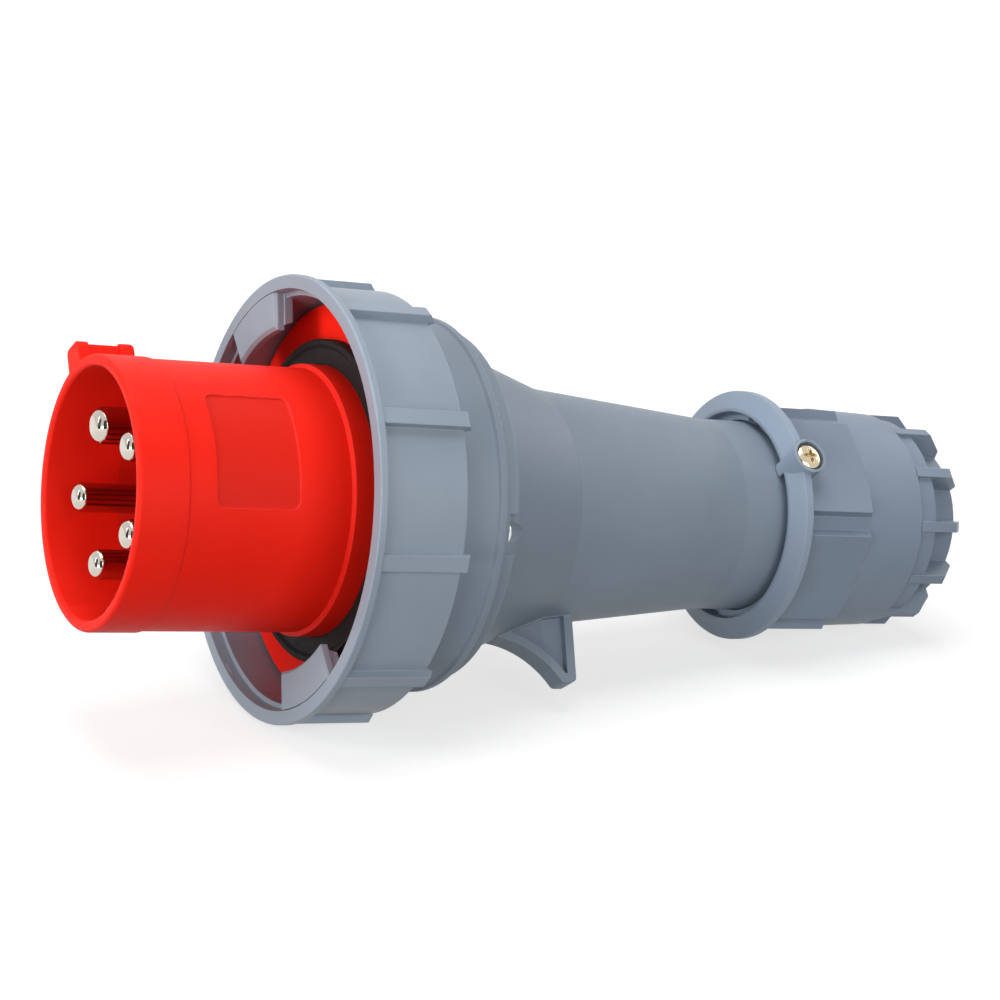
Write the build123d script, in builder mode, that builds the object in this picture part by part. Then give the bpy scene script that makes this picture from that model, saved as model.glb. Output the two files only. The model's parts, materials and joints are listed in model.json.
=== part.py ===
from build123d import *
from math import atan, cos, degrees, radians, sin
import os

# Industrial pin and sleeve plug with five contacts for 63 A, in millimetres.
# It is drawn along +X: stations run from the sleeve's mouth to the cable end.
# Angles turn clockwise from the key, seen from the mouth: the key is up, the foot is down.

# Clearances and small edges
running_gap = 0.3
slip_gap = 0.15
seal_gap = 0.1
screw_gap = 0.1
edge_break = 0.4

# Sleeve with its key, side panel and rear flange
sleeve_radius = 35.3
sleeve_wall = 2.7
mouth_band_raise = 0.4
mouth_band_length = 13.2
mouth_rounding = 1.0
root_raise = 1.2
root_station = 58.0
root_ramp = 0.5
flange_station = 67.0
flange_thickness = 6.0
bearing_rim_length = 3.0
bearing_rim_wall = 2.6
locating_lip_wall = 1.65
key_width = 8.2
key_height = 5.6
key_length = 16.0
key_rounding = 1.8
key_end_rounding = 1.2
key_front_wall = 3.0
key_rear_wall = 4.0
key_web = 2.4
panel_station = 20.8
panel_length = 22.8
panel_width = 30.4
panel_depth = 0.4
panel_corner = 2.2
panel_angle = 90.0

# Contact pins, equally spaced from the key
pin_count = 5
pin_circle = 19.0
earth_radius = 5.0
phase_radius = 4.0
tip_station = 3.3
tip_share = 0.65
pin_seat_raise = 0.3
shoulder_raise = 3.4
shoulder_length = 5.0
terminal_raise = 2.2
terminal_length = 24.0
terminal_flat = 0.9
wire_bore_step = 0.4
wire_bore_depth = 18.0
terminal_screw_count = 2
terminal_screw_pitch = 7.0
terminal_screw_inset = 5.5
terminal_screw_radius = 1.9
terminal_head_radius = 3.0
terminal_head_height = 2.0

# Contact carrier in the sleeve and the plate that keeps the pins in it
carrier_station = 52.0
carrier_step = 0.8
carrier_flange_reach = 2.6
carrier_flange_length = 3.0
pin_collar_wall = 2.2
pin_collar_height = 1.5
retainer_thickness = 3.2
retainer_screw_inset = 8.0
retainer_screw_radius = 1.6
retainer_screw_bite = 8.0
retainer_head_radius = 2.9
retainer_head_height = 1.8

# Rubber rings of the sleeve and the housing
gasket_width = 7.0
gasket_thickness = 3.5
gasket_bead = 0.8
body_seal_width = 3.5
body_seal_thickness = 2.0

# Locking ring with its grip ribs and bayonet lugs
ring_station = 53.4
ring_length = 26.1
ring_flange_gap = 1.2
ring_wall = 2.75
ring_rim_raise = 2.65
ring_rim_length = 2.1
ring_mouth_wall = 3.75
ring_mouth_depth = 3.4
ring_lip_thickness = 2.8
grip_rib_count = 10
grip_rib_width = 4.2
grip_rib_raise = 2.25
grip_rib_overhang = 1.9
grip_rib_slope = 1.4
lug_count = 2
lug_span = 30.0
lug_reach = 8.8
lug_plate = 2.8
lug_bevel = 0.9
lug_ramp_depth = 2.4
lug_ramp_inset = 1.4
lug_ramp_turn = 0.4

# Housing: spigot, drum, two rims, cone, handle and tail
housing_wall = 3.0
spigot_length = 6.8
spigot_cover = 2.5
ring_lip_reach = 6.1
clamp_width = 2.5
drum_raise = 2.3
rim_station = 92.0
rim_raise = 1.9
rim_width = 2.9
rim_bevel = 0.8
pocket_rim_drop = 2.9
pocket_rim_width = 4.9
cone_step = 4.95
crease_station = 128.0
crease_radius = 33.8
handle_end_station = 187.0
tail_radius = 27.9
tail_end_station = 214.0
rim_fillet = 0.7

# Screws from behind the rim into the sleeve's flange
body_screw_count = 3
body_screw_inset = 3.5
body_screw_radius = 1.7
body_screw_bite = 5.0
body_seat_raise = 2.2
body_head_radius = 2.8
body_head_height = 2.2
screw_column_wall = 1.9
pocket_gap = 0.3
notch_width = 10.8
notch_floor_raise = 1.0
recess_width = 0.9
recess_depth = 1.1
recess_share = 0.62
head_taper = 18.0

# Foot: hollow-sided gusset under the cone
foot_front_station = 112.5
foot_tip_station = 131.0
foot_tip_length = 4.4
foot_tip_radius = 52.3
foot_rear_station = 137.8
foot_bow = 2.5
foot_width = 6.5
foot_web = 2.1
foot_edge = 2.6
foot_rounding = 1.6

# Rear collar with its six pads, screwed across the housing's tail
collar_turn = 84.0
collar_station = 199.3
collar_mouth_gap = 2.4
collar_mouth_wall = 0.9
collar_rim_raise = 4.0
collar_bevel_length = 2.2
collar_rim_length = 2.4
collar_mouth_depth = 3.0
collar_wall = 2.8
collar_draft = 0.6
collar_rear_station = 247.3
pad_count = 6
pad_sink = 0.4
pad_end_station = 225.6
pad_slope = 2.0
groove_floor_raise = 0.1
groove_floor_width = 4.0
groove_top_width = 8.8
mouth_notch_count = 4
mouth_notch_width = 9.0
mouth_notch_depth = 1.6
boss_station = 204.2
boss_radius = 5.3
boss_raise = 1.5
boss_recess_depth = 2.0
boss_recess_gap = 0.5
collar_head_radius = 4.0
collar_head_height = 2.3
collar_screw_radius = 2.0
collar_seal_thickness = 2.5
collar_seat_gap = 4.5
seat_wall = 3.5
seat_hole_radius = 15.0
neck_radius = 26.2
neck_wall = 4.6
neck_end_gap = 0.6
core_depth = 12.0

# Cable gland: rubber bush, clamping cage, thrust washer and cap nut
cable_radius = 13.0
bush_length = 16.0
bush_chamfer = 1.5
cage_length = 20.0
cage_bore_radius = 14.8
cage_slot_count = 4
cage_slot_width = 2.4
cage_base = 5.0
washer_thickness = 2.2
washer_bore_radius = 15.5
nut_turn = 84.3
nut_front_gap = 0.4
nut_skirt_wall = 2.6
nut_skirt_reach = 5.6
nut_band_wall = 4.3
nut_band_length = 6.0
nut_web = 2.5
nut_barrel_wall = 1.9
nut_end_wall = 3.4
nut_hole_radius = 17.0
nut_hole_chamfer = 1.2
nut_rib_count = 12
nut_rib_width = 3.0
nut_rib_raise = 1.2
nut_rib_slope = 5.6

# Radii that follow, from the sleeve outward
mouth_band_radius = sleeve_radius + mouth_band_raise
key_top_radius = mouth_band_radius + key_height
sleeve_bore_radius = sleeve_radius - sleeve_wall
root_radius = sleeve_radius + root_raise
carrier_bore_radius = sleeve_bore_radius + carrier_step
carrier_flange_radius = carrier_bore_radius + carrier_flange_reach
flange_bore_radius = carrier_flange_radius + slip_gap
locating_lip_radius = flange_bore_radius + locating_lip_wall
body_seal_radius = locating_lip_radius + body_seal_width
body_screw_circle = body_seal_radius + body_screw_inset
spigot_radius = body_screw_circle + spigot_cover
spigot_inner_radius = body_screw_circle - spigot_cover
flange_radius = spigot_radius + ring_lip_reach
ring_lip_radius = spigot_radius + running_gap
ring_inner_radius = flange_radius + ring_flange_gap
ring_barrel_radius = ring_inner_radius + ring_wall
ring_rim_radius = ring_barrel_radius + ring_rim_raise
ring_mouth_radius = ring_rim_radius - ring_mouth_wall
grip_rib_radius = ring_barrel_radius + grip_rib_raise
lug_inner_radius = ring_inner_radius - lug_reach
drum_radius = spigot_radius + drum_raise
drum_inner_radius = drum_radius - housing_wall
rim_radius = drum_radius + rim_raise
pocket_rim_radius = rim_radius - pocket_rim_drop
cone_radius = pocket_rim_radius - cone_step
tail_bore_radius = tail_radius - housing_wall
land_radius = tail_radius + running_gap
neck_bore_radius = neck_radius - neck_wall
nut_thread_radius = neck_radius + running_gap
nut_skirt_radius = nut_thread_radius + nut_skirt_wall
nut_band_radius = nut_thread_radius + nut_band_wall
nut_bore_radius = neck_bore_radius + running_gap
nut_barrel_radius = nut_bore_radius + nut_barrel_wall
nut_rib_radius = nut_band_radius + nut_rib_raise
core_radius = nut_skirt_radius + running_gap
collar_rear_radius = core_radius + collar_wall
collar_barrel_radius = collar_rear_radius + collar_draft
collar_rim_radius = collar_barrel_radius + collar_rim_raise
collar_mouth_bore_radius = land_radius + collar_mouth_gap
collar_mouth_radius = collar_mouth_bore_radius + collar_mouth_wall
boss_top_radius = collar_rim_radius + boss_raise

# Stations that follow, from the mouth to the cable end
flange_end = flange_station + flange_thickness
bearing_rim_end = flange_end + bearing_rim_length
carrier_flange_station = flange_end - carrier_flange_length
retainer_end = flange_end + retainer_thickness
shoulder_station = flange_end - shoulder_length
collar_face_station = carrier_station - pin_collar_height
terminal_end = flange_end + terminal_length
ring_end = ring_station + ring_length
ring_lip_station = ring_end - ring_lip_thickness
grip_rib_end = ring_end + grip_rib_overhang
grip_rib_top_end = grip_rib_end - grip_rib_slope
spigot_end = flange_end + spigot_length
rim_end = rim_station + rim_width
body_seat_station = rim_end + body_seat_raise
pocket_rim_end = rim_end + pocket_rim_width
collar_mouth_end = collar_station + collar_mouth_depth
collar_rim_station = collar_station + collar_bevel_length
pad_station = collar_rim_station + collar_rim_length
pad_end = pad_end_station + pad_slope
seal_seat_station = tail_end_station + collar_seal_thickness
seat_front = seal_seat_station + collar_seat_gap
seat_station = seat_front + seat_wall
core_station = collar_rear_station - core_depth
bush_end = seat_station + bush_length
cage_end = bush_end + cage_length
washer_station = cage_end + slip_gap
washer_end = washer_station + washer_thickness
nut_skirt_station = collar_rear_station - nut_skirt_reach
nut_station = collar_rear_station + nut_front_gap
nut_band_end = nut_station + nut_band_length
nut_web_station = nut_band_end - nut_web
neck_end_station = nut_web_station - neck_end_gap
nut_wall_station = washer_end + slip_gap
nut_end = nut_wall_station + nut_end_wall
nut_rib_top_end = nut_end - nut_rib_slope

# Angles and radii of the contact set
pin_angles = [360 / pin_count * place for place in range(pin_count)]
pin_radii = [earth_radius] + [phase_radius] * (pin_count - 1)
retainer_screw_circle = carrier_flange_radius - retainer_screw_inset


def reach(radius, width, turn):
    """How far the corner of a rib reaches downward when the rib stands turned from straight down."""
    return radius * cos(radians(turn)) + width / 2 * sin(radians(abs(turn)))


# The plug lies on two ribs of the ring and on one rib of the cap nut
rib_step = 360 / grip_rib_count
rest_angle = 180 + rib_step
ring_reach = reach(grip_rib_radius, grip_rib_width, rib_step / 2)
nut_step = 360 / nut_rib_count
nut_offset = (rest_angle - nut_turn + nut_step / 2) % nut_step - nut_step / 2
nut_reach = reach(nut_rib_radius, nut_rib_width, nut_offset)
dip = degrees(atan((ring_reach - nut_reach) / (nut_rib_top_end - grip_rib_top_end)))
lying = Rot(0, dip, 0) * Rot(180 - rest_angle, 0, 0)


def along(angle):
    """Plane through the axis, its x along the plug and its y outward at the angle."""
    turn = radians(angle)
    return Plane(origin=(0, 0, 0), x_dir=(1, 0, 0), z_dir=(0, -cos(turn), -sin(turn)))


def across(station, angle=0.0):
    """Plane across the axis, facing the cable end, its y outward at the angle."""
    turn = radians(angle)
    return Plane(origin=(station, 0, 0), x_dir=(0, cos(turn), sin(turn)), z_dir=(1, 0, 0))


def outward(station, angle, radius):
    """Plane at a radius that faces away from the axis, its x along the plug."""
    turn = radians(angle)
    out = Vector(0, -sin(turn), cos(turn))
    return Plane(origin=Vector(station, 0, 0) + out * radius, x_dir=(1, 0, 0), z_dir=out)


def spread(count, first=0.0):
    """Equally spaced angles round the axis."""
    return [first + 360 / count * place for place in range(count)]


def outline(*points):
    """Closed section of a turned piece, station by radius."""
    with BuildSketch(Plane.XZ) as drawn:
        with BuildLine():
            Polyline(*points, close=True)
        make_face()
    return drawn.sketch


def rounds(piece, station, radius):
    """Circular edges of a piece at one station and radius."""
    circles = piece.edges().filter_by(GeomType.CIRCLE)
    level = circles.filter_by(lambda edge: abs(edge.center().X - station) < edge_break / 4)
    return level.filter_by(lambda edge: abs(edge.radius - radius) < edge_break / 4)


def pan_screws(seats, shank_radius, shank_length, head_radius, head_height):
    """Screws with tapered heads and crossed recesses, each head standing on its seat."""
    with BuildPart() as screws:
        with BuildSketch(*seats):
            Circle(shank_radius)
        extrude(amount=-shank_length)
        with BuildSketch(*seats):
            Circle(head_radius)
        extrude(amount=head_height, taper=head_taper)
        with BuildSketch(*[seat.offset(head_height) for seat in seats]):
            Rectangle(2 * recess_share * head_radius, recess_width)
            Rectangle(recess_width, 2 * recess_share * head_radius)
        extrude(amount=-recess_depth, mode=Mode.SUBTRACT)
    return screws


# Key on the sleeve's mouth, with a pocket in each side that leaves a web
key_pocket_length = key_length - key_front_wall - key_rear_wall
key_pocket_station = key_front_wall + key_pocket_length / 2
key_foot_radius = mouth_band_radius - mouth_rounding
key_pocket_height = key_height + key_rounding

with BuildPart() as key_block:
    with BuildSketch(across(0)):
        with BuildLine():
            Polyline(
                (-key_width / 2, key_foot_radius),
                (-key_width / 2, key_top_radius),
                (key_width / 2, key_top_radius),
                (key_width / 2, key_foot_radius),
                close=True,
            )
        make_face()
    extrude(amount=key_length)
    fillet(key_block.edges().filter_by(Axis.X).group_by(Axis.Z)[-1], radius=key_rounding)
    rear_face = key_block.faces().sort_by(Axis.X)[-1]
    fillet(rear_face.edges().sort_by(Axis.Z)[1:], radius=key_end_rounding)
    front_face = key_block.faces().sort_by(Axis.X)[0]
    fillet(front_face.edges().sort_by(Axis.Z)[1:], radius=edge_break)
    for side in (-1, 1):
        with BuildSketch(Plane.XZ.offset(side * key_width / 2)):
            with Locations((key_pocket_station, mouth_band_radius + key_pocket_height / 2)):
                Rectangle(key_pocket_length, key_pocket_height)
        extrude(amount=-side * (key_width - key_web) / 2, mode=Mode.SUBTRACT)

# Shallow bare panel on the sleeve's side
panel_floor_radius = sleeve_radius - panel_depth
panel_end = panel_station + panel_length

with BuildPart() as panel_recess:
    with BuildSketch(outward(panel_station + panel_length / 2, panel_angle, 0)):
        RectangleRounded(panel_length, panel_width, panel_corner)
    extrude(amount=mouth_band_radius)
    core = outline((0, 0), (root_station, 0), (root_station, panel_floor_radius), (0, panel_floor_radius))
    revolve(core, axis=Axis.X, mode=Mode.SUBTRACT)

# Sleeve: tube with a raised band at its mouth, thicker root, flange and rims behind it
with BuildPart() as sleeve:
    profile = outline(
        (0, sleeve_bore_radius),
        (0, mouth_band_radius),
        (mouth_band_length, mouth_band_radius),
        (mouth_band_length + mouth_band_raise, sleeve_radius),
        (root_station, sleeve_radius),
        (root_station + root_ramp, root_radius),
        (flange_station, root_radius),
        (flange_station, flange_radius),
        (bearing_rim_end, flange_radius),
        (bearing_rim_end, flange_radius - bearing_rim_wall),
        (flange_end, flange_radius - bearing_rim_wall),
        (flange_end, locating_lip_radius),
        (bearing_rim_end, locating_lip_radius),
        (bearing_rim_end, flange_bore_radius),
        (carrier_flange_station, flange_bore_radius),
        (carrier_flange_station, carrier_bore_radius),
        (carrier_station, carrier_bore_radius),
        (carrier_station, sleeve_bore_radius),
    )
    revolve(profile, axis=Axis.X)
    mouth_edges = rounds(sleeve, 0, mouth_band_radius) + rounds(sleeve, 0, sleeve_bore_radius)
    fillet(mouth_edges, radius=mouth_rounding)
    fillet(rounds(sleeve, flange_station, flange_radius), radius=edge_break)
    add(key_block.part)
    add(panel_recess.part, mode=Mode.SUBTRACT)
    # Blind holes for the screws that come through the housing
    with BuildSketch(*[across(flange_end, angle) for angle in spread(body_screw_count)]):
        with Locations((0, body_screw_circle)):
            Circle(body_screw_radius + screw_gap)
    extrude(amount=-body_screw_bite, mode=Mode.SUBTRACT)
sleeve.part.label = "sleeve"


def contact_pin(radius, angle):
    """Pin with a domed tip, a shoulder that is held in the carrier, and a drilled terminal."""
    centre = outward(0, angle, pin_circle).origin
    seat_radius = radius + pin_seat_raise
    shoulder_radius = radius + shoulder_raise
    terminal_radius = radius + terminal_raise
    flat_length = terminal_end - retainer_end - slip_gap
    with BuildPart() as pin:
        with BuildSketch(Plane(origin=centre, x_dir=(1, 0, 0), z_dir=(0, -1, 0))) as half:
            with BuildLine():
                Polyline(
                    (tip_station, 0),
                    (terminal_end, 0),
                    (terminal_end, terminal_radius),
                    (flange_end, terminal_radius),
                    (flange_end, shoulder_radius),
                    (shoulder_station, shoulder_radius),
                    (shoulder_station, seat_radius),
                    (collar_face_station, seat_radius),
                    (collar_face_station, radius),
                    (tip_station, radius),
                    close=True,
                )
            make_face()
            fillet(half.vertices().group_by(Axis.X)[0].sort_by(Axis.Y)[-1], radius=tip_share * radius)
        revolve(axis=Axis(centre, (1, 0, 0)))
        # Bore for the wire, flat for the clamping screws and their holes
        with BuildSketch(across(terminal_end, angle)):
            with Locations((0, pin_circle)):
                Circle(radius - wire_bore_step)
        extrude(amount=-wire_bore_depth, mode=Mode.SUBTRACT)
        flat_radius = pin_circle + terminal_radius - terminal_flat
        with BuildSketch(outward(terminal_end - flat_length / 2, angle, flat_radius)):
            Rectangle(flat_length, 2 * terminal_radius)
        extrude(amount=terminal_radius, mode=Mode.SUBTRACT)
        with BuildSketch(*[outward(station, angle, pin_circle) for station in terminal_screw_stations]):
            Circle(terminal_screw_radius + screw_gap)
        extrude(amount=terminal_radius, mode=Mode.SUBTRACT)
    return pin


# Contact pins: earth stands behind the key, then the phases and the neutral follow
last_screw_station = terminal_end - terminal_screw_inset
terminal_screw_stations = [
    last_screw_station - terminal_screw_pitch * place for place in range(terminal_screw_count)
]
pin_earth = contact_pin(pin_radii[0], pin_angles[0])
pin_earth.part.label = "pin_earth"
pin_l1 = contact_pin(pin_radii[4], pin_angles[4])
pin_l1.part.label = "pin_l1"
pin_l2 = contact_pin(pin_radii[3], pin_angles[3])
pin_l2.part.label = "pin_l2"
pin_l3 = contact_pin(pin_radii[2], pin_angles[2])
pin_l3.part.label = "pin_l3"
pin_neutral = contact_pin(pin_radii[1], pin_angles[1])
pin_neutral.part.label = "pin_neutral"

# Clamping screws of the terminals, two in a row on each pin
terminal_seats = [
    outward(station, angle, pin_circle + radius + terminal_raise - terminal_flat)
    for angle, radius in zip(pin_angles, pin_radii)
    for station in terminal_screw_stations
]
terminal_screws = pan_screws(
    terminal_seats, terminal_screw_radius, phase_radius, terminal_head_radius, terminal_head_height
)
terminal_screws.part.label = "terminal_screws"

# Contact carrier: seats on the step in the sleeve's bore and holds the pins by their shoulders
retainer_screw_angles = spread(pin_count, 180 / pin_count)

with BuildPart() as contact_carrier:
    profile = outline(
        (carrier_station, 0),
        (carrier_station, carrier_bore_radius - slip_gap),
        (carrier_flange_station, carrier_bore_radius - slip_gap),
        (carrier_flange_station, carrier_flange_radius),
        (flange_end, carrier_flange_radius),
        (flange_end, 0),
    )
    revolve(profile, axis=Axis.X)
    for angle, radius in zip(pin_angles, pin_radii):
        with BuildSketch(across(carrier_station, angle)):
            with Locations((0, pin_circle)):
                Circle(radius + pin_seat_raise + pin_collar_wall)
        extrude(amount=-pin_collar_height)
        with BuildSketch(across(collar_face_station, angle)):
            with Locations((0, pin_circle)):
                Circle(radius + pin_seat_raise + slip_gap)
        extrude(until=Until.LAST, mode=Mode.SUBTRACT)
        with BuildSketch(across(flange_end, angle)):
            with Locations((0, pin_circle)):
                Circle(radius + shoulder_raise + slip_gap)
        extrude(amount=-shoulder_length, mode=Mode.SUBTRACT)
    with BuildSketch(*[across(flange_end, angle) for angle in retainer_screw_angles]):
        with Locations((0, retainer_screw_circle)):
            Circle(retainer_screw_radius + screw_gap)
    extrude(amount=-retainer_screw_bite, mode=Mode.SUBTRACT)
contact_carrier.part.label = "contact_carrier"

# Retainer plate over the shoulders of the pins
with BuildPart() as pin_retainer:
    with BuildSketch(across(flange_end)):
        Circle(carrier_flange_radius)
    extrude(amount=retainer_thickness)
    for angle, radius in zip(pin_angles, pin_radii):
        with BuildSketch(across(flange_end, angle)):
            with Locations((0, pin_circle)):
                Circle(radius + terminal_raise + slip_gap)
        extrude(amount=retainer_thickness, mode=Mode.SUBTRACT)
    with BuildSketch(*[across(flange_end, angle) for angle in retainer_screw_angles]):
        with Locations((0, retainer_screw_circle)):
            Circle(retainer_screw_radius + screw_gap)
    extrude(amount=retainer_thickness, mode=Mode.SUBTRACT)
pin_retainer.part.label = "pin_retainer"

# Screws that hold the retainer plate to the carrier, one between each two pins
retainer_seats = [
    Plane(
        origin=outward(retainer_end, angle, retainer_screw_circle).origin,
        x_dir=(0, 1, 0),
        z_dir=(1, 0, 0),
    )
    for angle in retainer_screw_angles
]
retainer_screws = pan_screws(
    retainer_seats,
    retainer_screw_radius,
    retainer_thickness + retainer_screw_bite - slip_gap,
    retainer_head_radius,
    retainer_head_height,
)
retainer_screws.part.label = "retainer_screws"

# Front gasket on the sleeve's root, with a raised bead at its outer edge
gasket_front = flange_station - gasket_thickness
gasket_radius = root_radius + gasket_width
gasket_bead_radius = gasket_radius - 2 * gasket_bead

with BuildPart() as front_gasket:
    profile = outline(
        (gasket_front + gasket_bead, root_radius + seal_gap),
        (gasket_front + gasket_bead, gasket_bead_radius - gasket_bead),
        (gasket_front, gasket_bead_radius),
        (gasket_front, gasket_radius - edge_break),
        (gasket_front + edge_break, gasket_radius),
        (flange_station, gasket_radius),
        (flange_station, root_radius + seal_gap),
    )
    revolve(profile, axis=Axis.X)
front_gasket.part.label = "front_gasket"

# Seal between the sleeve's flange and the housing, round the locating lip
with BuildPart() as body_seal:
    with BuildSketch(across(flange_end)):
        Circle(body_seal_radius)
        Circle(locating_lip_radius + seal_gap, mode=Mode.SUBTRACT)
    extrude(amount=body_seal_thickness)
body_seal.part.label = "body_seal"

# Locking ring: front rim, barrel and the rear lip that turns on the housing's spigot
grip_rib_angles = spread(grip_rib_count, rib_step / 2)
lug_root_radius = (ring_inner_radius + ring_barrel_radius) / 2
lug_plate_end = ring_station + lug_plate

with BuildPart() as locking_ring:
    profile = outline(
        (ring_station, ring_mouth_radius),
        (ring_station, ring_rim_radius),
        (ring_station + ring_rim_length, ring_rim_radius),
        (ring_station + ring_rim_length, ring_barrel_radius),
        (ring_end, ring_barrel_radius),
        (ring_end, ring_lip_radius),
        (ring_lip_station, ring_lip_radius),
        (ring_lip_station, ring_inner_radius),
        (ring_station + ring_mouth_depth, ring_inner_radius),
        (ring_station + ring_mouth_depth, ring_mouth_radius - edge_break),
    )
    revolve(profile, axis=Axis.X)
    fillet(rounds(locking_ring, ring_station, ring_rim_radius), radius=edge_break)
    fillet(rounds(locking_ring, ring_end, ring_barrel_radius), radius=edge_break)
    # Grip ribs with sloping rear ends
    with BuildSketch(*[along(angle) for angle in grip_rib_angles]):
        with BuildLine():
            Polyline(
                (ring_station + ring_rim_length / 2, lug_root_radius),
                (ring_station + ring_rim_length / 2, grip_rib_radius),
                (grip_rib_top_end, grip_rib_radius),
                (grip_rib_end, ring_barrel_radius),
                (ring_end - edge_break, lug_root_radius),
                close=True,
            )
        make_face()
    extrude(amount=grip_rib_width / 2, both=True)
    # Bayonet lugs flush with the rim, bevelled round their inner edges
    with BuildSketch(*[along(angle) for angle in spread(lug_count, -lug_span / 2)]):
        with BuildLine():
            Polyline(
                (ring_station, lug_root_radius),
                (ring_station, lug_inner_radius + lug_bevel),
                (ring_station + lug_bevel, lug_inner_radius),
                (lug_plate_end, lug_inner_radius),
                (lug_plate_end, lug_root_radius),
                close=True,
            )
        make_face()
    revolve(axis=Axis.X, revolution_arc=lug_span)
    # Ramp blocks behind the lugs, which reach a little further round
    with BuildSketch(*[along(angle) for angle in spread(lug_count, lug_ramp_turn - lug_span / 2)]):
        with BuildLine():
            Polyline(
                (lug_plate_end, lug_root_radius),
                (lug_plate_end, lug_inner_radius + lug_ramp_inset),
                (lug_plate_end + lug_ramp_depth, lug_inner_radius + lug_ramp_inset + lug_bevel),
                (lug_plate_end + lug_ramp_depth, lug_root_radius),
                close=True,
            )
        make_face()
    revolve(axis=Axis.X, revolution_arc=lug_span)
    lug_ends = locking_ring.edges().filter_by(GeomType.LINE).filter_by_position(
        Axis.X, ring_station - edge_break / 4, ring_station + edge_break / 4
    )
    chamfer(lug_ends, length=lug_bevel)
locking_ring.part.label = "locking_ring"

# Hollow-sided gusset of the foot: its outline and the pocket inside it
cone_slope = (cone_radius - crease_radius) / (crease_station - pocket_rim_end)
handle_slope = (crease_radius - tail_radius) / (handle_end_station - crease_station)
foot_sink = housing_wall - edge_break
foot_front_radius = cone_radius - cone_slope * (foot_front_station - pocket_rim_end)
foot_rear_radius = crease_radius - handle_slope * (foot_rear_station - crease_station)

with BuildSketch() as foot_outline:
    with BuildLine():
        start = (foot_front_station, foot_front_radius)
        tip = (foot_tip_station, foot_tip_radius)
        SagittaArc(start, tip, -foot_bow)
        Polyline(
            tip,
            (foot_tip_station + foot_tip_length, foot_tip_radius),
            (foot_rear_station, foot_rear_radius - foot_sink),
            (crease_station, crease_radius - foot_sink),
            (foot_front_station, foot_front_radius - foot_sink),
            start,
        )
    make_face()
    fillet(foot_outline.vertices().group_by(Axis.Y)[-1], radius=foot_rounding)

with BuildSketch() as foot_pocket:
    add(foot_outline.sketch)
    offset(amount=-foot_edge, kind=Kind.INTERSECTION, mode=Mode.REPLACE)

# Housing: turned shell with screw columns, screw pockets and the foot
rebate_radius = body_seal_radius + seal_gap
rebate_end = flange_end + body_seal_thickness
locating_bore_radius = locating_lip_radius + slip_gap
clamp_end = retainer_end + housing_wall
clamp_face_radius = carrier_flange_radius - clamp_width
notch_floor_radius = body_screw_circle + notch_floor_raise
notch_height = rim_radius - notch_floor_radius
pocket_radius = body_head_radius + pocket_gap
pocket_end = pocket_rim_end + (cone_radius - body_screw_circle + pocket_radius) / cone_slope

with BuildPart() as housing:
    profile = outline(
        (flange_end, rebate_radius),
        (flange_end, spigot_radius),
        (spigot_end, spigot_radius),
        (spigot_end, drum_radius),
        (rim_station, rim_radius - rim_bevel),
        (rim_station + rim_bevel, rim_radius),
        (rim_end, rim_radius),
        (rim_end, pocket_rim_radius),
        (pocket_rim_end, pocket_rim_radius),
        (pocket_rim_end, cone_radius),
        (crease_station, crease_radius),
        (handle_end_station, tail_radius),
        (tail_end_station, tail_radius),
        (tail_end_station, tail_bore_radius),
        (handle_end_station, tail_bore_radius),
        (crease_station, crease_radius - housing_wall),
        (pocket_rim_end, cone_radius - housing_wall),
        (rim_station, drum_inner_radius),
        (spigot_end + housing_wall, drum_inner_radius),
        (spigot_end + housing_wall, spigot_inner_radius),
        (clamp_end, spigot_inner_radius),
        (clamp_end, clamp_face_radius),
        (retainer_end, clamp_face_radius),
        (retainer_end, locating_bore_radius),
        (rebate_end, locating_bore_radius),
        (rebate_end, rebate_radius),
    )
    revolve(profile, axis=Axis.X)
    fillet(rounds(housing, rim_end, rim_radius), radius=rim_fillet)
    fillet(rounds(housing, pocket_rim_end, pocket_rim_radius), radius=rim_fillet)
    fillet(rounds(housing, spigot_end, drum_radius), radius=rim_fillet)
    # Columns for the long screws, from the drum's shoulder to the second rim
    screw_angles = spread(body_screw_count)
    with BuildSketch(*[across(spigot_end, angle) for angle in screw_angles]):
        with Locations((0, body_screw_circle)):
            Circle(body_screw_radius + screw_gap + screw_column_wall)
    extrude(amount=pocket_rim_end - spigot_end)
    # Open pockets in the second rim, where the screw heads sit
    with BuildSketch(*[across(body_seat_station, angle) for angle in screw_angles]):
        with Locations((0, body_screw_circle)):
            Circle(pocket_radius)
        with Locations((0, notch_floor_radius + notch_height / 2)):
            Rectangle(notch_width, notch_height)
    extrude(amount=pocket_end - body_seat_station, mode=Mode.SUBTRACT)
    with BuildSketch(*[across(flange_end, angle) for angle in screw_angles]):
        with Locations((0, body_screw_circle)):
            Circle(body_screw_radius + screw_gap)
    extrude(amount=body_seat_station - flange_end, mode=Mode.SUBTRACT)
    # Foot
    with BuildSketch(along(180)):
        add(foot_outline.sketch)
    extrude(amount=foot_width / 2, both=True)
    for side in (-1, 1):
        with BuildSketch(along(180).offset(side * foot_web / 2)):
            add(foot_pocket.sketch)
        extrude(amount=side * foot_width / 2, mode=Mode.SUBTRACT)
    # Hole in the tail for the collar's screw
    with BuildSketch(outward(boss_station, collar_turn, 0)):
        Circle(collar_screw_radius + screw_gap)
    extrude(amount=collar_rim_radius, mode=Mode.SUBTRACT)
housing.part.label = "housing"

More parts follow.
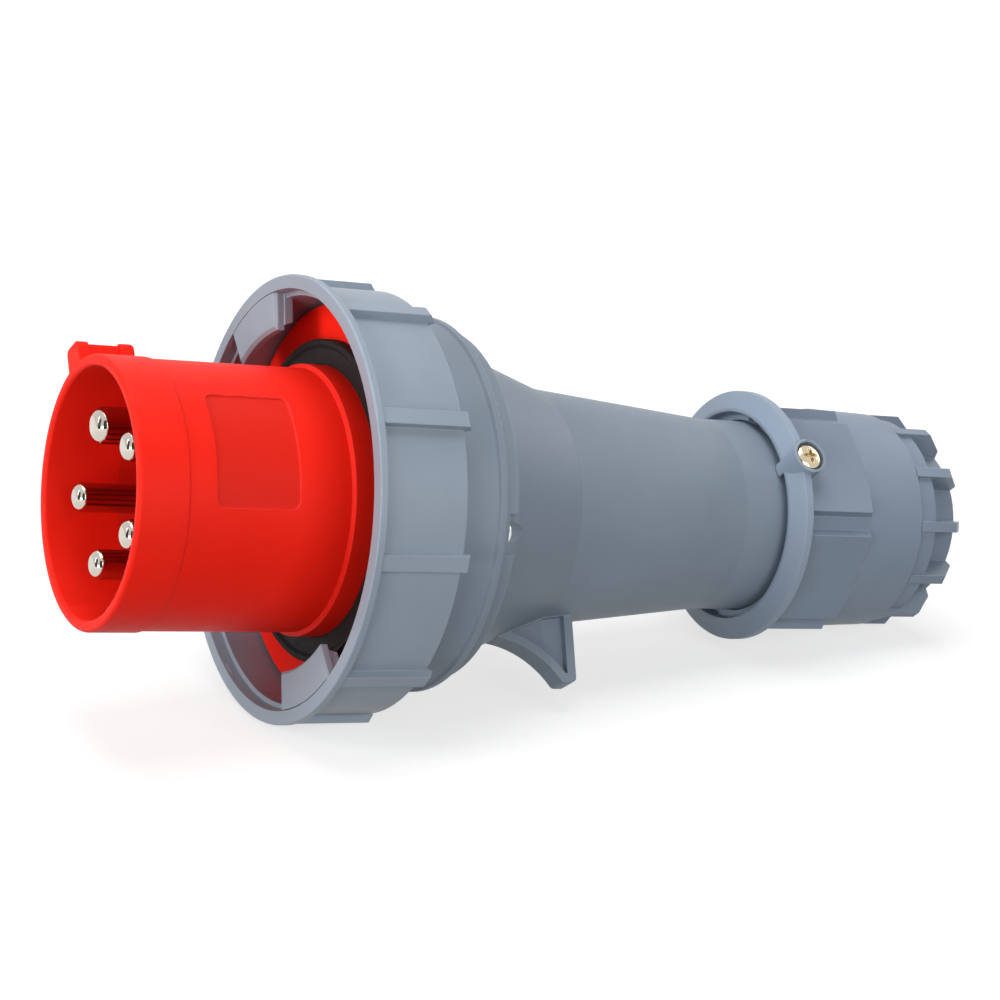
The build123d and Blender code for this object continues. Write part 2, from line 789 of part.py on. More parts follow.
# Screws that draw the housing to the sleeve's flange
body_seats = [
    Plane(
        origin=outward(body_seat_station, angle, body_screw_circle).origin,
        x_dir=(0, 1, 0),
        z_dir=(1, 0, 0),
    )
    for angle in screw_angles
]
body_shank_length = body_seat_station - flange_end + body_screw_bite - slip_gap
body_screws = pan_screws(body_seats, body_screw_radius, body_shank_length, body_head_radius, body_head_height)
body_screws.part.label = "body_screws"

# Collar: front rim, six pads parted by grooves, barrel, and the threaded neck inside it
groove_angles = spread(pad_count, collar_turn + 180 / pad_count)
groove_floor_radius = collar_barrel_radius + groove_floor_raise
pad_distance = collar_barrel_radius - pad_sink
pad_corner_angle = 90 + collar_turn + 180 / pad_count
recess_floor_radius = boss_top_radius - boss_recess_depth
notch_angles = spread(mouth_notch_count, collar_turn / 2)

with BuildPart() as gland_collar:
    profile = outline(
        (pad_station, 0),
        (pad_station, collar_rim_radius),
        (pad_end_station, collar_rim_radius),
        (pad_end, collar_barrel_radius),
        (pad_end, 0),
    )
    revolve(profile, axis=Axis.X)
    with BuildSketch(across(pad_station)):
        RegularPolygon(pad_distance, pad_count, major_radius=False, rotation=pad_corner_angle)
    extrude(amount=pad_end - pad_station, mode=Mode.INTERSECT)
    with BuildSketch(*[across(pad_station, angle) for angle in groove_angles]):
        with BuildLine():
            Polyline(
                (-groove_floor_width / 2, groove_floor_radius),
                (groove_floor_width / 2, groove_floor_radius),
                (groove_top_width / 2, collar_rim_radius),
                (-groove_top_width / 2, collar_rim_radius),
                close=True,
            )
        make_face()
    extrude(amount=pad_end - pad_station, mode=Mode.SUBTRACT)
    # Front rim and rear barrel
    profile = outline(
        (collar_station, 0),
        (collar_station, collar_mouth_radius),
        (collar_rim_station, collar_rim_radius),
        (pad_station, collar_rim_radius),
        (pad_station, 0),
    )
    revolve(profile, axis=Axis.X)
    profile = outline(
        (pad_end, 0),
        (pad_end, collar_barrel_radius),
        (collar_rear_station, collar_rear_radius),
        (collar_rear_station, 0),
    )
    revolve(profile, axis=Axis.X)
    # Boss of the collar's screw
    with BuildSketch(outward(boss_station, collar_turn, land_radius)):
        Circle(boss_radius)
    extrude(amount=boss_top_radius - land_radius)
    with BuildSketch(outward(boss_station, collar_turn, boss_top_radius)):
        Circle(collar_head_radius + boss_recess_gap)
    extrude(amount=-boss_recess_depth, mode=Mode.SUBTRACT)
    # Mouth, land on the tail, seat of the seal, cable passage and bore of the neck
    profile = outline(
        (collar_station, 0),
        (collar_station, collar_mouth_bore_radius),
        (collar_mouth_end, collar_mouth_bore_radius),
        (collar_mouth_end, land_radius),
        (seal_seat_station, land_radius),
        (seal_seat_station, tail_bore_radius),
        (seat_front, tail_bore_radius),
        (seat_front, seat_hole_radius),
        (seat_station, seat_hole_radius),
        (seat_station, neck_bore_radius),
        (collar_rear_station, neck_bore_radius),
        (collar_rear_station, 0),
    )
    revolve(profile, axis=Axis.X, mode=Mode.SUBTRACT)
    with BuildSketch(*[across(collar_mouth_end, angle) for angle in notch_angles]):
        with Locations((0, land_radius + collar_mouth_gap / 2)):
            Rectangle(mouth_notch_width, collar_mouth_gap)
    extrude(amount=mouth_notch_depth, mode=Mode.SUBTRACT)
    with BuildSketch(outward(boss_station, collar_turn, 0)):
        Circle(collar_screw_radius + screw_gap)
    extrude(amount=boss_top_radius, mode=Mode.SUBTRACT)
    # Ring-shaped core behind the barrel, which frees the neck for the skirt of the nut
    with BuildSketch(across(collar_rear_station)):
        Circle(core_radius)
        Circle(neck_radius, mode=Mode.SUBTRACT)
    extrude(amount=-core_depth, mode=Mode.SUBTRACT)
    with BuildSketch(across(collar_rear_station)):
        Circle(neck_radius)
        Circle(neck_bore_radius, mode=Mode.SUBTRACT)
    extrude(amount=neck_end_station - collar_rear_station)
gland_collar.part.label = "gland_collar"

# Screw that locks the collar on the tail
collar_seat = outward(boss_station, collar_turn, recess_floor_radius)
collar_shank_length = recess_floor_radius - tail_bore_radius - slip_gap
collar_screw = pan_screws(
    [collar_seat], collar_screw_radius, collar_shank_length, collar_head_radius, collar_head_height
)
collar_screw.part.label = "collar_screw"

# Seal between the tail's end and the collar
with BuildPart() as collar_seal:
    with BuildSketch(across(tail_end_station)):
        Circle(tail_radius)
        Circle(tail_bore_radius, mode=Mode.SUBTRACT)
    extrude(amount=collar_seal_thickness)
collar_seal.part.label = "collar_seal"

# Rubber bush that grips the cable, chamfered at both ends
with BuildPart() as gland_seal:
    with BuildSketch(across(seat_station)):
        Circle(neck_bore_radius - seal_gap)
    extrude(amount=bush_length)
    chamfer(gland_seal.edges(), length=bush_chamfer)
    with BuildSketch(across(seat_station)):
        Circle(cable_radius)
    extrude(amount=bush_length, mode=Mode.SUBTRACT)
gland_seal.part.label = "gland_seal"

# Clamping cage: a ring with fingers that press on the bush
with BuildPart() as clamping_cage:
    with BuildSketch(across(bush_end)):
        Circle(neck_bore_radius - slip_gap)
        Circle(cage_bore_radius, mode=Mode.SUBTRACT)
    extrude(amount=cage_length)
    with BuildSketch(*[across(bush_end, angle) for angle in spread(2 * cage_slot_count)[:cage_slot_count]]):
        Rectangle(cage_slot_width, 2 * neck_bore_radius)
    extrude(amount=cage_length - cage_base, mode=Mode.SUBTRACT)
clamping_cage.part.label = "clamping_cage"

# Thrust washer between the cage and the nut
with BuildPart() as thrust_washer:
    with BuildSketch(across(washer_station)):
        Circle(neck_bore_radius - slip_gap)
        Circle(washer_bore_radius, mode=Mode.SUBTRACT)
    extrude(amount=washer_thickness)
thrust_washer.part.label = "thrust_washer"

# Cap nut: skirt in the collar's core, front band, narrower barrel and tall ribs that slope at the rear
nut_band_root = nut_thread_radius + nut_band_wall / 2
nut_barrel_root = nut_bore_radius + nut_barrel_wall / 2

with BuildPart() as cap_nut:
    with BuildSketch(*[along(angle) for angle in spread(nut_rib_count, nut_turn)]):
        with BuildLine():
            Polyline(
                (nut_station, nut_band_root),
                (nut_station, nut_rib_radius),
                (nut_rib_top_end, nut_rib_radius),
                (nut_end, nut_rib_radius - nut_rib_slope),
                (nut_end, nut_barrel_root),
                (nut_web_station + nut_web / 2, nut_barrel_root),
                (nut_web_station + nut_web / 2, nut_band_root),
                close=True,
            )
        make_face()
    extrude(amount=nut_rib_width / 2, both=True)
    profile = outline(
        (nut_skirt_station, nut_thread_radius),
        (nut_skirt_station, nut_skirt_radius),
        (nut_station, nut_skirt_radius),
        (nut_station, nut_band_radius),
        (nut_band_end, nut_band_radius),
        (nut_band_end, nut_barrel_radius),
        (nut_end, nut_barrel_radius),
        (nut_end, nut_hole_radius + nut_hole_chamfer),
        (nut_end - nut_hole_chamfer, nut_hole_radius),
        (nut_wall_station, nut_hole_radius),
        (nut_wall_station, nut_bore_radius),
        (nut_web_station, nut_bore_radius),
        (nut_web_station, nut_thread_radius),
    )
    revolve(profile, axis=Axis.X)
cap_nut.part.label = "cap_nut"

# Every piece is written as the plug lies at rest, with the middle of the sleeve's mouth at the origin
pieces = (
    sleeve,
    pin_earth,
    pin_l1,
    pin_l2,
    pin_l3,
    pin_neutral,
    contact_carrier,
    pin_retainer,
    retainer_screws,
    terminal_screws,
    front_gasket,
    body_seal,
    locking_ring,
    housing,
    body_screws,
    gland_collar,
    collar_screw,
    collar_seal,
    gland_seal,
    clamping_cage,
    thrust_washer,
    cap_nut,
)
os.makedirs("parts", exist_ok=True)
for piece in pieces:
    laid = piece.part.moved(lying)
    laid.label = piece.part.label
    export_step(laid, f"parts/{laid.label}.step")
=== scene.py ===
import bmesh
import bpy
import json
import math
from collections import namedtuple
from mathutils import Matrix, Vector


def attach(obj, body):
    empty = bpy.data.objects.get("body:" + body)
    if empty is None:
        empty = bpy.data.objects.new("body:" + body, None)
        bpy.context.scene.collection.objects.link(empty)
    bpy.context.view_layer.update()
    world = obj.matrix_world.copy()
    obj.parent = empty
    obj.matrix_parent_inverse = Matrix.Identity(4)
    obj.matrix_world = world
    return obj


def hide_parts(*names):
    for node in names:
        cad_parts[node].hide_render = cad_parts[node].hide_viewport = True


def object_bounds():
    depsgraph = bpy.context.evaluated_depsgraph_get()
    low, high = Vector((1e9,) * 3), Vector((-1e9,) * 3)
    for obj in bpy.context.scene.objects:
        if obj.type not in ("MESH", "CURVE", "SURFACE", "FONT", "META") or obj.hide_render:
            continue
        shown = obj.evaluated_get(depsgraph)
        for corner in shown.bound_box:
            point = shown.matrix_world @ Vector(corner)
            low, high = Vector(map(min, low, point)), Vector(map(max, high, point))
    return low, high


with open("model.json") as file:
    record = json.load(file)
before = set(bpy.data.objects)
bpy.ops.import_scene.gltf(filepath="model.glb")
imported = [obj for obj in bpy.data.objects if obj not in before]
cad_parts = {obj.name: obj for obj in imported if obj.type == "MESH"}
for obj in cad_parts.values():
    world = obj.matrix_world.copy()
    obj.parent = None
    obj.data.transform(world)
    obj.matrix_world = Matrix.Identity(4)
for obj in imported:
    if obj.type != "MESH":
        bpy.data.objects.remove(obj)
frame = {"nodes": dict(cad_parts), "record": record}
cad_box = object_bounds()
nodes = frame["nodes"]

# How the plug lies in the row frame: its axis dips towards the cable end, and its key is turned from the top
CABLE_ENTRY = next(mount for mount in frame["record"]["mounts"] if mount["name"] == "cable_entry")
AXIS = Vector(CABLE_ENTRY["axis"]).normalized()
DIP = math.atan2(-AXIS.z, AXIS.x)
KEY_TURN = math.radians(-36.0)
LAID = Matrix.Rotation(DIP, 4, "Y") @ Matrix.Rotation(KEY_TURN, 4, "X")
FLOOR_Z = cad_box[0][2]
MIDDLE = Vector((0.12, 0.0, -0.02))

# Zones of one moulding that differ in tone, with stations from the mouth and a radius to keep within; the
# panel is the sleeve's own duller red, the others are painted shade, painted light and a painted highlight
Zone = namedtuple("Zone", "start end radius soft tone")
PANEL = Zone(start=0.0209, end=0.0435, radius=0.0351, soft=0.0001, tone=(0.78, 0.017, 0.007))
# Painted shade makes the cone darker than the handle, and painted light makes the tail lighter, so the
# creases before and after the handle show
CONE_PAINTED_SHADE = Zone(start=0.1034, end=0.1282, radius=None, soft=0.0003, tone=(0.190, 0.234, 0.288))
TAIL_PAINTED_LIGHT = Zone(start=0.1872, end=0.230, radius=None, soft=0.0003, tone=(0.232, 0.285, 0.348))
# Painted highlight: the collar's rim and bevel are lighter, as where the light catches them
COLLAR_RIM_PAINTED_HIGHLIGHT = Zone(start=0.1985, end=0.2040, radius=None, soft=0.0002, tone=(0.290, 0.362, 0.460))
RADIUS_SOFT = 0.00005

# Edges: samples that round them, and the likeness of rounded to true normal, from a flat face to a fully pale
# edge, which is partly rubbed wear and partly a painted highlight
EDGE_SAMPLES = 6
EDGE_LIKENESS = (0.995, 0.86)

# Smooth shading: the angle past which an edge between two facets stays sharp, and the gap that is welded
SHARP_ANGLE = 28.0
SHARP_ANGLES = {"housing": 11.5}
WELD_GAP = 0.000002

# Domed screw heads: the mesh, and the cross recess as shares of the head's radius and height
Screw = namedtuple("Screw", "head_radius head_height shank_radius shank_length")
COLLAR_SCREW = Screw(head_radius=0.0040, head_height=0.0023, shank_radius=0.0020, shank_length=0.01125)
COLLAR_SCREW_STATION = 0.2042
COLLAR_SCREW_SEAT_RADIUS = 0.0363
COLLAR_SCREW_ANGLE = 84.0
BODY_SCREW = Screw(head_radius=0.0028, head_height=0.0022, shank_radius=0.0017, shank_length=0.02895)
BODY_SCREW_STATION = 0.0971
BODY_SCREW_CIRCLE = 0.0448
BODY_SCREW_COUNT = 3
HEAD_RINGS = 36
HEAD_STEPS = 96
HEAD_RIM = 0.42
HEAD_SHARP_ANGLE = 38.0
RECESS_ARM = 0.60
RECESS_HALF_WIDTH = 0.15
RECESS_DEPTH = 0.62
RECESS_MIDDLE_FLARE = 1.25
RECESS_NARROWING = 0.5
RECESS_END_SLOPE = 2.2
RECESS_SIDE_SLOPE = 3.0
DOUBLES_GAP = 1e-7

# Floor: what it throws back on the plug, and how it shows itself, from under the plug to far away
FLOOR_SIZE = 12.0
FLOOR_BOUNCE = 0.18
FLOOR_SHADE = 0.45
FLOOR_GLOW = 0.68
FLOOR_GLOW_CENTRE = (0.13, 0.0, FLOOR_Z)
FLOOR_GLOW_NEAR = 0.25
FLOOR_GLOW_FAR = 0.9

# Light: the fill from the world, and soft boxes with their place, power, width and height
WORLD_FILL = 0.08
LAMPS = (
    ("top", (0.10, 0.0, 1.15), 8.0, 0.8, 0.8),
    ("front", (0.15, -1.15, 0.35), 5.8, 0.8, 0.6),
    ("left", (-1.05, 0.05, 0.50), 9.0, 0.6, 0.6),
    ("low", (-0.85, -0.65, 0.02), 4.4, 0.6, 0.3),
    ("back", (0.20, 0.85, 0.85), 1.8, 0.8, 0.6),
    ("rear", (1.25, 0.10, 0.45), 2.2, 0.8, 0.6),
)

# Black flags that only reflections show, with their place, width and height
FLAGS = (
    ("flag_left", (-0.65, 0.0, -0.02), 0.36, 1.2),
    ("flag_front", (-0.35, -0.61, 0.05), 0.40, 1.2),
)
FLAG_BLACK = (0.01, 0.01, 0.01)

# Camera, from a fit to the plug's circles in the photograph, in a frame along the plug's axis
CAMERA_ROLL = math.radians(-14.5)
CAMERA_EYE = Vector((-0.22464, -0.59666, 0.0))
CAMERA_FORWARD = Vector((0.5023, 0.8647, 0.0028))
CAMERA_DOWN = Vector((0.0307, -0.0146, -0.9994))
SENSOR_WIDTH = 36.0
FOCAL_RATIO = 2.46075
NEAREST_SEEN = 0.01


class Finish:
    """One node material with its shader, and short helpers that add and join its nodes."""

    def __init__(self, name):
        self.material = bpy.data.materials.new(name)
        self.material.use_nodes = True
        self.tree = self.material.node_tree
        self.tree.nodes.clear()
        output = self.tree.nodes.new("ShaderNodeOutputMaterial")
        self.shader = self.tree.nodes.new("ShaderNodeBsdfPrincipled")
        self.link(self.shader.outputs[0], output.inputs[0])

    def node(self, kind, **values):
        added = self.tree.nodes.new(kind)
        for key, value in values.items():
            setattr(added, key, value)
        return added

    def link(self, source, socket):
        self.tree.links.new(source, socket)

    def fill(self, socket, value):
        """A socket takes a number, a colour or another node's output."""
        if isinstance(value, (int, float)):
            socket.default_value = value
        elif isinstance(value, tuple):
            socket.default_value = (*value, 1.0)
        else:
            self.link(value, socket)

    def set(self, **values):
        """The shader's own sockets by name, and the material that results."""
        for key, value in values.items():
            self.fill(self.shader.inputs[key.replace("_", " ")], value)
        return self.material

    def plug_place(self):
        """Object coordinates turned so that x runs along the plug's axis."""
        coordinates = self.node("ShaderNodeTexCoord")
        turn = self.node("ShaderNodeMapping", vector_type="POINT")
        turn.inputs["Rotation"].default_value = (0.0, -DIP, 0.0)
        self.link(coordinates.outputs["Object"], turn.inputs["Vector"])
        return turn.outputs["Vector"]

    def parts(self, vector):
        split = self.node("ShaderNodeSeparateXYZ")
        self.link(vector, split.inputs[0])
        return split.outputs[0], split.outputs[1], split.outputs[2]

    def noise(self, place, scale, detail, roughness, along_line=False):
        cloud = self.node("ShaderNodeTexNoise", noise_dimensions="1D" if along_line else "3D")
        cloud.inputs["Scale"].default_value = scale
        cloud.inputs["Detail"].default_value = detail
        cloud.inputs["Roughness"].default_value = roughness
        self.link(place, cloud.inputs["W" if along_line else "Vector"])
        return cloud.outputs["Fac"]

    def ramp(self, value, span, result):
        """The span of a value, from low to high, laid out over the span of the result."""
        spread = self.node("ShaderNodeMapRange")
        spread.inputs["From Min"].default_value, spread.inputs["From Max"].default_value = span
        spread.inputs["To Min"].default_value, spread.inputs["To Max"].default_value = result
        self.link(value, spread.inputs["Value"])
        return spread.outputs["Result"]

    def math(self, operation, *values):
        step = self.node("ShaderNodeMath", operation=operation)
        for socket, value in zip(step.inputs, values):
            self.fill(socket, value)
        return step.outputs[0]

    def mix(self, share, first, second):
        blend = self.node("ShaderNodeMix", data_type="RGBA")
        self.fill(blend.inputs[0], share)
        self.fill(blend.inputs[6], first)
        self.fill(blend.inputs[7], second)
        return blend.outputs[2]

    def rounded(self, radius):
        """Normal that rounds every edge by a radius."""
        bevel = self.node("ShaderNodeBevel", samples=EDGE_SAMPLES)
        bevel.inputs["Radius"].default_value = radius
        return bevel.outputs["Normal"]

    def edges(self, rounded):
        """0 on flat faces and up to 1 on an edge, where the rounded normal leaves the true one."""
        geometry = self.node("ShaderNodeNewGeometry")
        likeness = self.node("ShaderNodeVectorMath", operation="DOT_PRODUCT")
        self.link(geometry.outputs["Normal"], likeness.inputs[0])
        self.link(rounded, likeness.inputs[1])
        return self.ramp(likeness.outputs["Value"], EDGE_LIKENESS, (0.0, 1.0))

    def bump(self, height, normal, strength, distance):
        grain = self.node("ShaderNodeBump")
        grain.inputs["Strength"].default_value = strength
        grain.inputs["Distance"].default_value = distance
        self.link(height, grain.inputs["Height"])
        self.link(normal, grain.inputs["Normal"])
        return grain.outputs["Normal"]

    def inside(self, place, zone):
        """1 between a zone's two stations along the axis, and inside its radius if it has one."""
        x, y, z = self.parts(place)
        after_start = self.ramp(x, (zone.start - zone.soft, zone.start + zone.soft), (0.0, 1.0))
        before_end = self.ramp(x, (zone.end - zone.soft, zone.end + zone.soft), (1.0, 0.0))
        between = self.math("MULTIPLY", after_start, before_end)
        if zone.radius is None:
            return between
        square = self.math("ADD", self.math("MULTIPLY", y, y), self.math("MULTIPLY", z, z))
        radius = self.math("SQRT", square)
        limits = (zone.radius - RADIUS_SOFT, zone.radius + RADIUS_SOFT)
        return self.math("MULTIPLY", between, self.ramp(radius, limits, (1.0, 0.0)))


def scaled(color, factor, lift=0.0):
    return tuple(min(1.0, channel * factor + lift) for channel in color)


def plastic(name, color, rough, grain, shade=0.05, wear_and_highlight=0.16, gloss=0.4, zones=()):
    """Moulded plastic: a fine spark-eroded grain, faint flow shading, and edges painted paler, partly as
    rubbed wear and partly as a painted edge highlight.
    """
    finish = Finish(name)
    place = finish.plug_place()
    cloud = finish.noise(place, scale=28.0, detail=3.0, roughness=0.55)
    fine = finish.noise(place, scale=1700.0, detail=2.0, roughness=0.6)
    dust = finish.noise(place, scale=260.0, detail=4.0, roughness=0.65)
    rounded = finish.rounded(radius=0.00045)
    flow = finish.ramp(cloud, (0.35, 0.65), (0.0, 1.0))
    body = finish.mix(flow, scaled(color, 1.0 - shade), scaled(color, 1.0 + shade, lift=0.002))
    for zone in zones:
        body = finish.mix(finish.inside(place, zone), body, zone.tone)
    # Edges go paler, partly as rubbed wear and partly as a painted highlight where light catches them
    rubbed_and_highlit = tuple(channel + (1.0 - channel) * wear_and_highlight for channel in color)
    patches = finish.ramp(dust, (0.35, 0.62), (0.35, 1.0))
    edge_wear_and_highlight = finish.math("MULTIPLY", finish.edges(rounded), patches)
    blotches = finish.math("ADD", finish.math("MULTIPLY", dust, 0.6), finish.math("MULTIPLY", cloud, 0.4))
    return finish.set(
        Base_Color=finish.mix(edge_wear_and_highlight, body, rubbed_and_highlit),
        Roughness=finish.ramp(blotches, (0.3, 0.7), (rough - 0.05, rough + 0.06)),
        Normal=finish.bump(fine, rounded, strength=grain, distance=0.00004),
        IOR=1.5,
        Specular_IOR_Level=gloss,
    )


def metal(name, color, rough, turning=0.0):
    """Plated metal, and where it was turned, fine marks round the plug's axis."""
    finish = Finish(name)
    place = finish.plug_place()
    cloud = finish.noise(place, scale=90.0, detail=3.0, roughness=0.5)
    fine = finish.noise(place, scale=900.0, detail=3.0, roughness=0.6)
    normal = finish.rounded(radius=0.00015)
    if turning:
        marks = finish.noise(finish.parts(place)[0], scale=5200.0, detail=3.0, roughness=0.7, along_line=True)
        normal = finish.bump(marks, normal, strength=turning, distance=0.00001)
    tarnish = finish.ramp(cloud, (0.3, 0.7), (0.0, 1.0))
    return finish.set(
        Base_Color=finish.mix(tarnish, scaled(color, 0.93), color),
        Metallic=1.0,
        Roughness=finish.ramp(fine, (0.3, 0.7), (rough - 0.03, rough + 0.05)),
        Normal=normal,
    )


def rubber(name, color):
    """Black rubber with a faint bloom of dust and a soft grain."""
    finish = Finish(name)
    place = finish.plug_place()
    dust = finish.noise(place, scale=420.0, detail=4.0, roughness=0.7)
    fine = finish.noise(place, scale=1500.0, detail=2.0, roughness=0.5)
    bloom = finish.ramp(dust, (0.45, 0.75), (0.0, 0.6))
    rounded = finish.rounded(radius=0.0003)
    return finish.set(
        Base_Color=finish.mix(bloom, color, scaled(color, 2.2)),
        Roughness=finish.ramp(dust, (0.3, 0.7), (0.6, 0.8)),
        Normal=finish.bump(fine, rounded, strength=0.35, distance=0.00006),
        Specular_IOR_Level=0.25,
    )


# Materials by the record's slots, and the gland's own bluer mould
MATERIALS = {
    "red_plastic": plastic(
        "red_plastic", (0.95, 0.015, 0.004), 0.52, 0.25, shade=0.03, wear_and_highlight=0.05, gloss=0.15, zones=(PANEL,)
    ),
    # The housing grey carries painted shade on the cone and painted light on the tail
    "grey_plastic": plastic("grey_plastic", (0.215, 0.265, 0.325), 0.46, 0.35, zones=(CONE_PAINTED_SHADE, TAIL_PAINTED_LIGHT)),
    "ring_plastic": plastic("ring_plastic", (0.285, 0.345, 0.415), 0.40, 0.22),
    "black_plastic": plastic("black_plastic", (0.022, 0.022, 0.024), 0.45, 0.3),
    "rubber": rubber("rubber", (0.006, 0.005, 0.005)),
    "nickel": metal("nickel", (0.58, 0.54, 0.47), 0.06, turning=0.25),
    "zinc": metal("zinc", (0.70, 0.72, 0.74), 0.22),
    "brass": metal("brass", (0.66, 0.56, 0.39), 0.10),
}
# The gland's bluer mould carries a painted highlight on the collar's rim
GLAND_GREY = plastic("gland_plastic", (0.215, 0.272, 0.352), 0.42, 0.30, wear_and_highlight=0.24, zones=(COLLAR_RIM_PAINTED_HIGHLIGHT,))
GLAND_NODES = ("gland_collar", "cap_nut")


def dress(name, slot):
    """A CAD node's finish, with its curved faces smooth and its real edges sharp."""
    piece = nodes[name]
    piece.data.materials.clear()
    piece.data.materials.append(GLAND_GREY if name in GLAND_NODES else MATERIALS[slot])
    weld = piece.modifiers.new("weld", "WELD")
    weld.merge_threshold = WELD_GAP
    split = piece.modifiers.new("split", "EDGE_SPLIT")
    split.split_angle = math.radians(SHARP_ANGLES.get(name, SHARP_ANGLE))
    split.use_edge_sharp = False


for subpart in frame["record"]["subparts"]:
    dress(subpart["node"], subpart["material_slot"])


def place_object(name, data):
    """A new object in the scene, at the origin."""
    added = bpy.data.objects.new(name, data)
    bpy.context.scene.collection.objects.link(added)
    return added


def screw_seat(station, radius, angle, faces_out):
    """Seat of a screw on the plug, with its head away from the axis or towards the cable end."""
    turn = math.radians(angle)
    along = Vector((1.0, 0.0, 0.0))
    outward = Vector((0.0, -math.sin(turn), math.cos(turn)))
    first, third = (along, outward) if faces_out else (outward, along)
    turned = Matrix((first, first.cross(third), third)).transposed().to_4x4()
    return LAID @ Matrix.Translation(along * station + outward * radius) @ turned


def head_height_at(screw, x, y):
    """Height of the domed head over its seat, less the cross recess, which narrows and rises outward."""
    rim = HEAD_RIM * screw.head_height
    reach = math.hypot(x, y) / screw.head_radius
    height = rim + (screw.head_height - rim) * math.sqrt(max(0.0, 1.0 - reach**2))
    along, across = max(abs(x), abs(y)), min(abs(x), abs(y))
    arm = RECESS_ARM * screw.head_radius
    flare = RECESS_MIDDLE_FLARE - RECESS_NARROWING * along / arm
    half_width = RECESS_HALF_WIDTH * screw.head_radius * flare
    if along < arm and across < half_width:
        end = min(1.0, RECESS_END_SLOPE * (1.0 - along / arm))
        side = min(1.0, RECESS_SIDE_SLOPE * (1.0 - across / half_width))
        height -= RECESS_DEPTH * screw.head_height * end * side
    return height


def screw_points(screw):
    """Rings of points from the middle of the head over its rim and down the shank."""
    around = [2 * math.pi * step / HEAD_STEPS for step in range(HEAD_STEPS)]
    points = []
    for ring in range(HEAD_RINGS + 1):
        radius = screw.head_radius * ring / HEAD_RINGS
        for angle in around:
            x, y = radius * math.cos(angle), radius * math.sin(angle)
            points.append(Vector((x, y, head_height_at(screw, x, y))))
    shank_end = -screw.shank_length
    lower_rings = (
        (screw.head_radius, 0.0),
        (screw.shank_radius, 0.0),
        (screw.shank_radius, shank_end),
        (0.0, shank_end),
    )
    for radius, height in lower_rings:
        points += [Vector((radius * math.cos(angle), radius * math.sin(angle), height)) for angle in around]
    return points


def ring_faces(first, ring_count):
    """Four-sided faces that join each ring of points to the next."""
    faces = []
    for ring in range(ring_count - 1):
        for step in range(HEAD_STEPS):
            here = first + ring * HEAD_STEPS + step
            beside = first + ring * HEAD_STEPS + (step + 1) % HEAD_STEPS
            faces.append((here, here + HEAD_STEPS, beside + HEAD_STEPS, beside))
    return faces


def close_mesh(mesh):
    """Points that fall together become one, all faces look outward, and shading is smooth."""
    work = bmesh.new()
    work.from_mesh(mesh)
    bmesh.ops.remove_doubles(work, verts=work.verts, dist=DOUBLES_GAP)
    bmesh.ops.recalc_face_normals(work, faces=work.faces)
    work.to_mesh(mesh)
    work.free()
    for face in mesh.polygons:
        face.use_smooth = True


def domed_screws(name, node, slot, screw, seats):
    """Screws with a domed head and a cross recess, in one object that stands for a CAD node."""
    points, faces = [], []
    profile = screw_points(screw)
    for seat in seats:
        faces += ring_faces(len(points), len(profile) // HEAD_STEPS)
        points += [tuple(seat @ point) for point in profile]
    mesh = bpy.data.meshes.new(name)
    mesh.from_pydata(points, [], faces)
    close_mesh(mesh)
    mesh.materials.append(MATERIALS[slot])
    screws = place_object(name, mesh)
    split = screws.modifiers.new("split", "EDGE_SPLIT")
    split.split_angle = math.radians(HEAD_SHARP_ANGLE)
    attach(screws, "plug")
    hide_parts(node)


collar_seat = screw_seat(COLLAR_SCREW_STATION, COLLAR_SCREW_SEAT_RADIUS, COLLAR_SCREW_ANGLE, faces_out=True)
body_seats = [
    screw_seat(BODY_SCREW_STATION, BODY_SCREW_CIRCLE, 360.0 * turn / BODY_SCREW_COUNT, faces_out=False)
    for turn in range(BODY_SCREW_COUNT)
]
domed_screws("collar_screw_head", "collar_screw", "brass", COLLAR_SCREW, [collar_seat])
domed_screws("body_screw_heads", "body_screws", "zinc", BODY_SCREW, body_seats)


def rectangle(name, width, height, level=0.0):
    """Flat rectangle round the origin."""
    corners = ((-1, -1), (1, -1), (1, 1), (-1, 1))
    mesh = bpy.data.meshes.new(name)
    mesh.from_pydata([(x * width / 2, y * height / 2, level) for x, y in corners], [], [(0, 1, 2, 3)])
    return place_object(name, mesh)


def seen(tree):
    """1 for camera, glossy and transmission rays, and 0 for the rays that light the plug."""
    path = tree.nodes.new("ShaderNodeLightPath")
    result = path.outputs["Is Camera Ray"]
    for name in ("Is Glossy Ray", "Is Transmission Ray"):
        either = tree.nodes.new("ShaderNodeMath")
        either.operation = "MAXIMUM"
        tree.links.new(result, either.inputs[0])
        tree.links.new(path.outputs[name], either.inputs[1])
        result = either.outputs[0]
    return result


def floor_finish():
    """Floor that shows white far away and keeps the plug's soft shadow, but throws little light back."""
    finish = Finish("floor")
    shows = seen(finish.tree)
    coordinates = finish.node("ShaderNodeTexCoord")
    distance = finish.node("ShaderNodeVectorMath", operation="DISTANCE")
    distance.inputs[1].default_value = FLOOR_GLOW_CENTRE
    finish.link(coordinates.outputs["Object"], distance.inputs[0])
    glow = finish.ramp(distance.outputs["Value"], (FLOOR_GLOW_NEAR, FLOOR_GLOW_FAR), (FLOOR_GLOW, 1.0))
    return finish.set(
        Base_Color=finish.mix(shows, (FLOOR_BOUNCE,) * 3, (FLOOR_SHADE,) * 3),
        Roughness=1.0,
        Specular_IOR_Level=0.0,
        Emission_Color=(1.0, 1.0, 1.0),
        Emission_Strength=finish.math("MULTIPLY", shows, glow),
    )


floor = rectangle("floor", FLOOR_SIZE, FLOOR_SIZE, FLOOR_Z)
floor.data.materials.append(floor_finish())

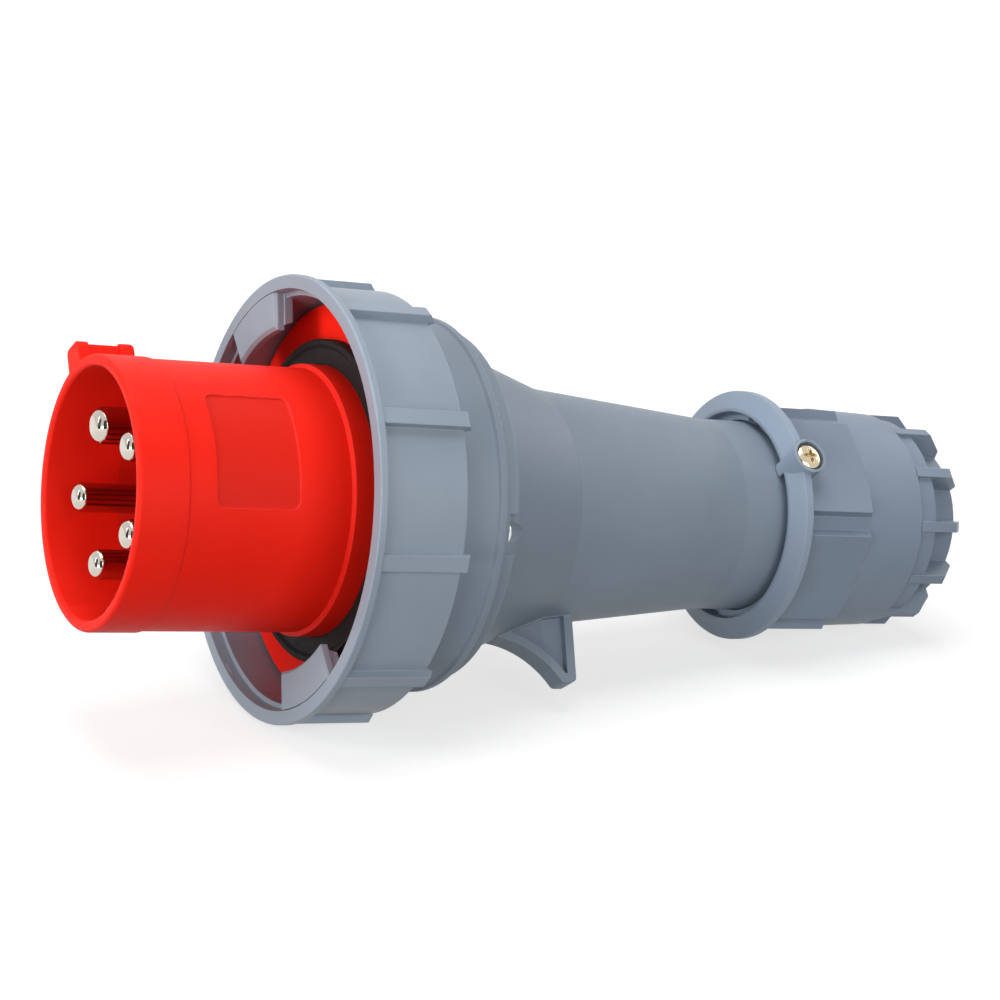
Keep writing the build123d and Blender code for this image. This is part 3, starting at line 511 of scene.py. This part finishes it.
# Flags face the origin and take no part in light or shadow
flag_black = Finish("flag_black").set(Base_Color=FLAG_BLACK)
for name, place, width, height in FLAGS:
    flag = rectangle(name, width, height)
    flag.location = place
    flag.rotation_euler = (-Vector(place)).to_track_quat("Z", "Y").to_euler()
    flag.visible_camera = False
    flag.visible_diffuse = False
    flag.visible_shadow = False
    flag.data.materials.append(flag_black)

# World: white where it is seen, and a soft fill for the plug
world = bpy.data.worlds.new("studio")
bpy.context.scene.world = world
world.use_nodes = True
background = world.node_tree.nodes["Background"]
background.inputs["Color"].default_value = (1.0, 1.0, 1.0, 1.0)
level = world.node_tree.nodes.new("ShaderNodeMapRange")
level.inputs["To Min"].default_value = WORLD_FILL
level.inputs["To Max"].default_value = 1.0
world.node_tree.links.new(seen(world.node_tree), level.inputs["Value"])
world.node_tree.links.new(level.outputs["Result"], background.inputs["Strength"])


def soft_box(name, place, power, width, height):
    """Lamp aimed at the middle of the plug."""
    light = bpy.data.lights.new(name, "AREA")
    light.shape = "RECTANGLE"
    light.size = width
    light.size_y = height
    light.energy = power
    lamp = place_object(name, light)
    lamp.location = place
    lamp.rotation_euler = (MIDDLE - Vector(place)).to_track_quat("-Z", "Y").to_euler()


for settings in LAMPS:
    soft_box(*settings)


def photo_camera():
    """Camera that sees the plug as the photograph does."""
    turn = Matrix.Rotation(DIP, 3, "Y") @ Matrix.Rotation(CAMERA_ROLL, 3, "X")
    forward = (turn @ CAMERA_FORWARD).normalized()
    right = (turn @ CAMERA_DOWN).cross(forward).normalized()
    up = right.cross(forward).normalized()
    lens = bpy.data.cameras.new("camera")
    lens.sensor_width = SENSOR_WIDTH
    lens.lens = SENSOR_WIDTH * FOCAL_RATIO
    lens.clip_start = NEAREST_SEEN
    camera = place_object("camera", lens)
    looking = Matrix((right, up, -forward)).transposed().to_4x4()
    camera.matrix_world = Matrix.Translation(turn @ CAMERA_EYE) @ looking
    return camera


bpy.context.scene.camera = photo_camera()
bpy.context.scene.view_settings.view_transform = "Standard"
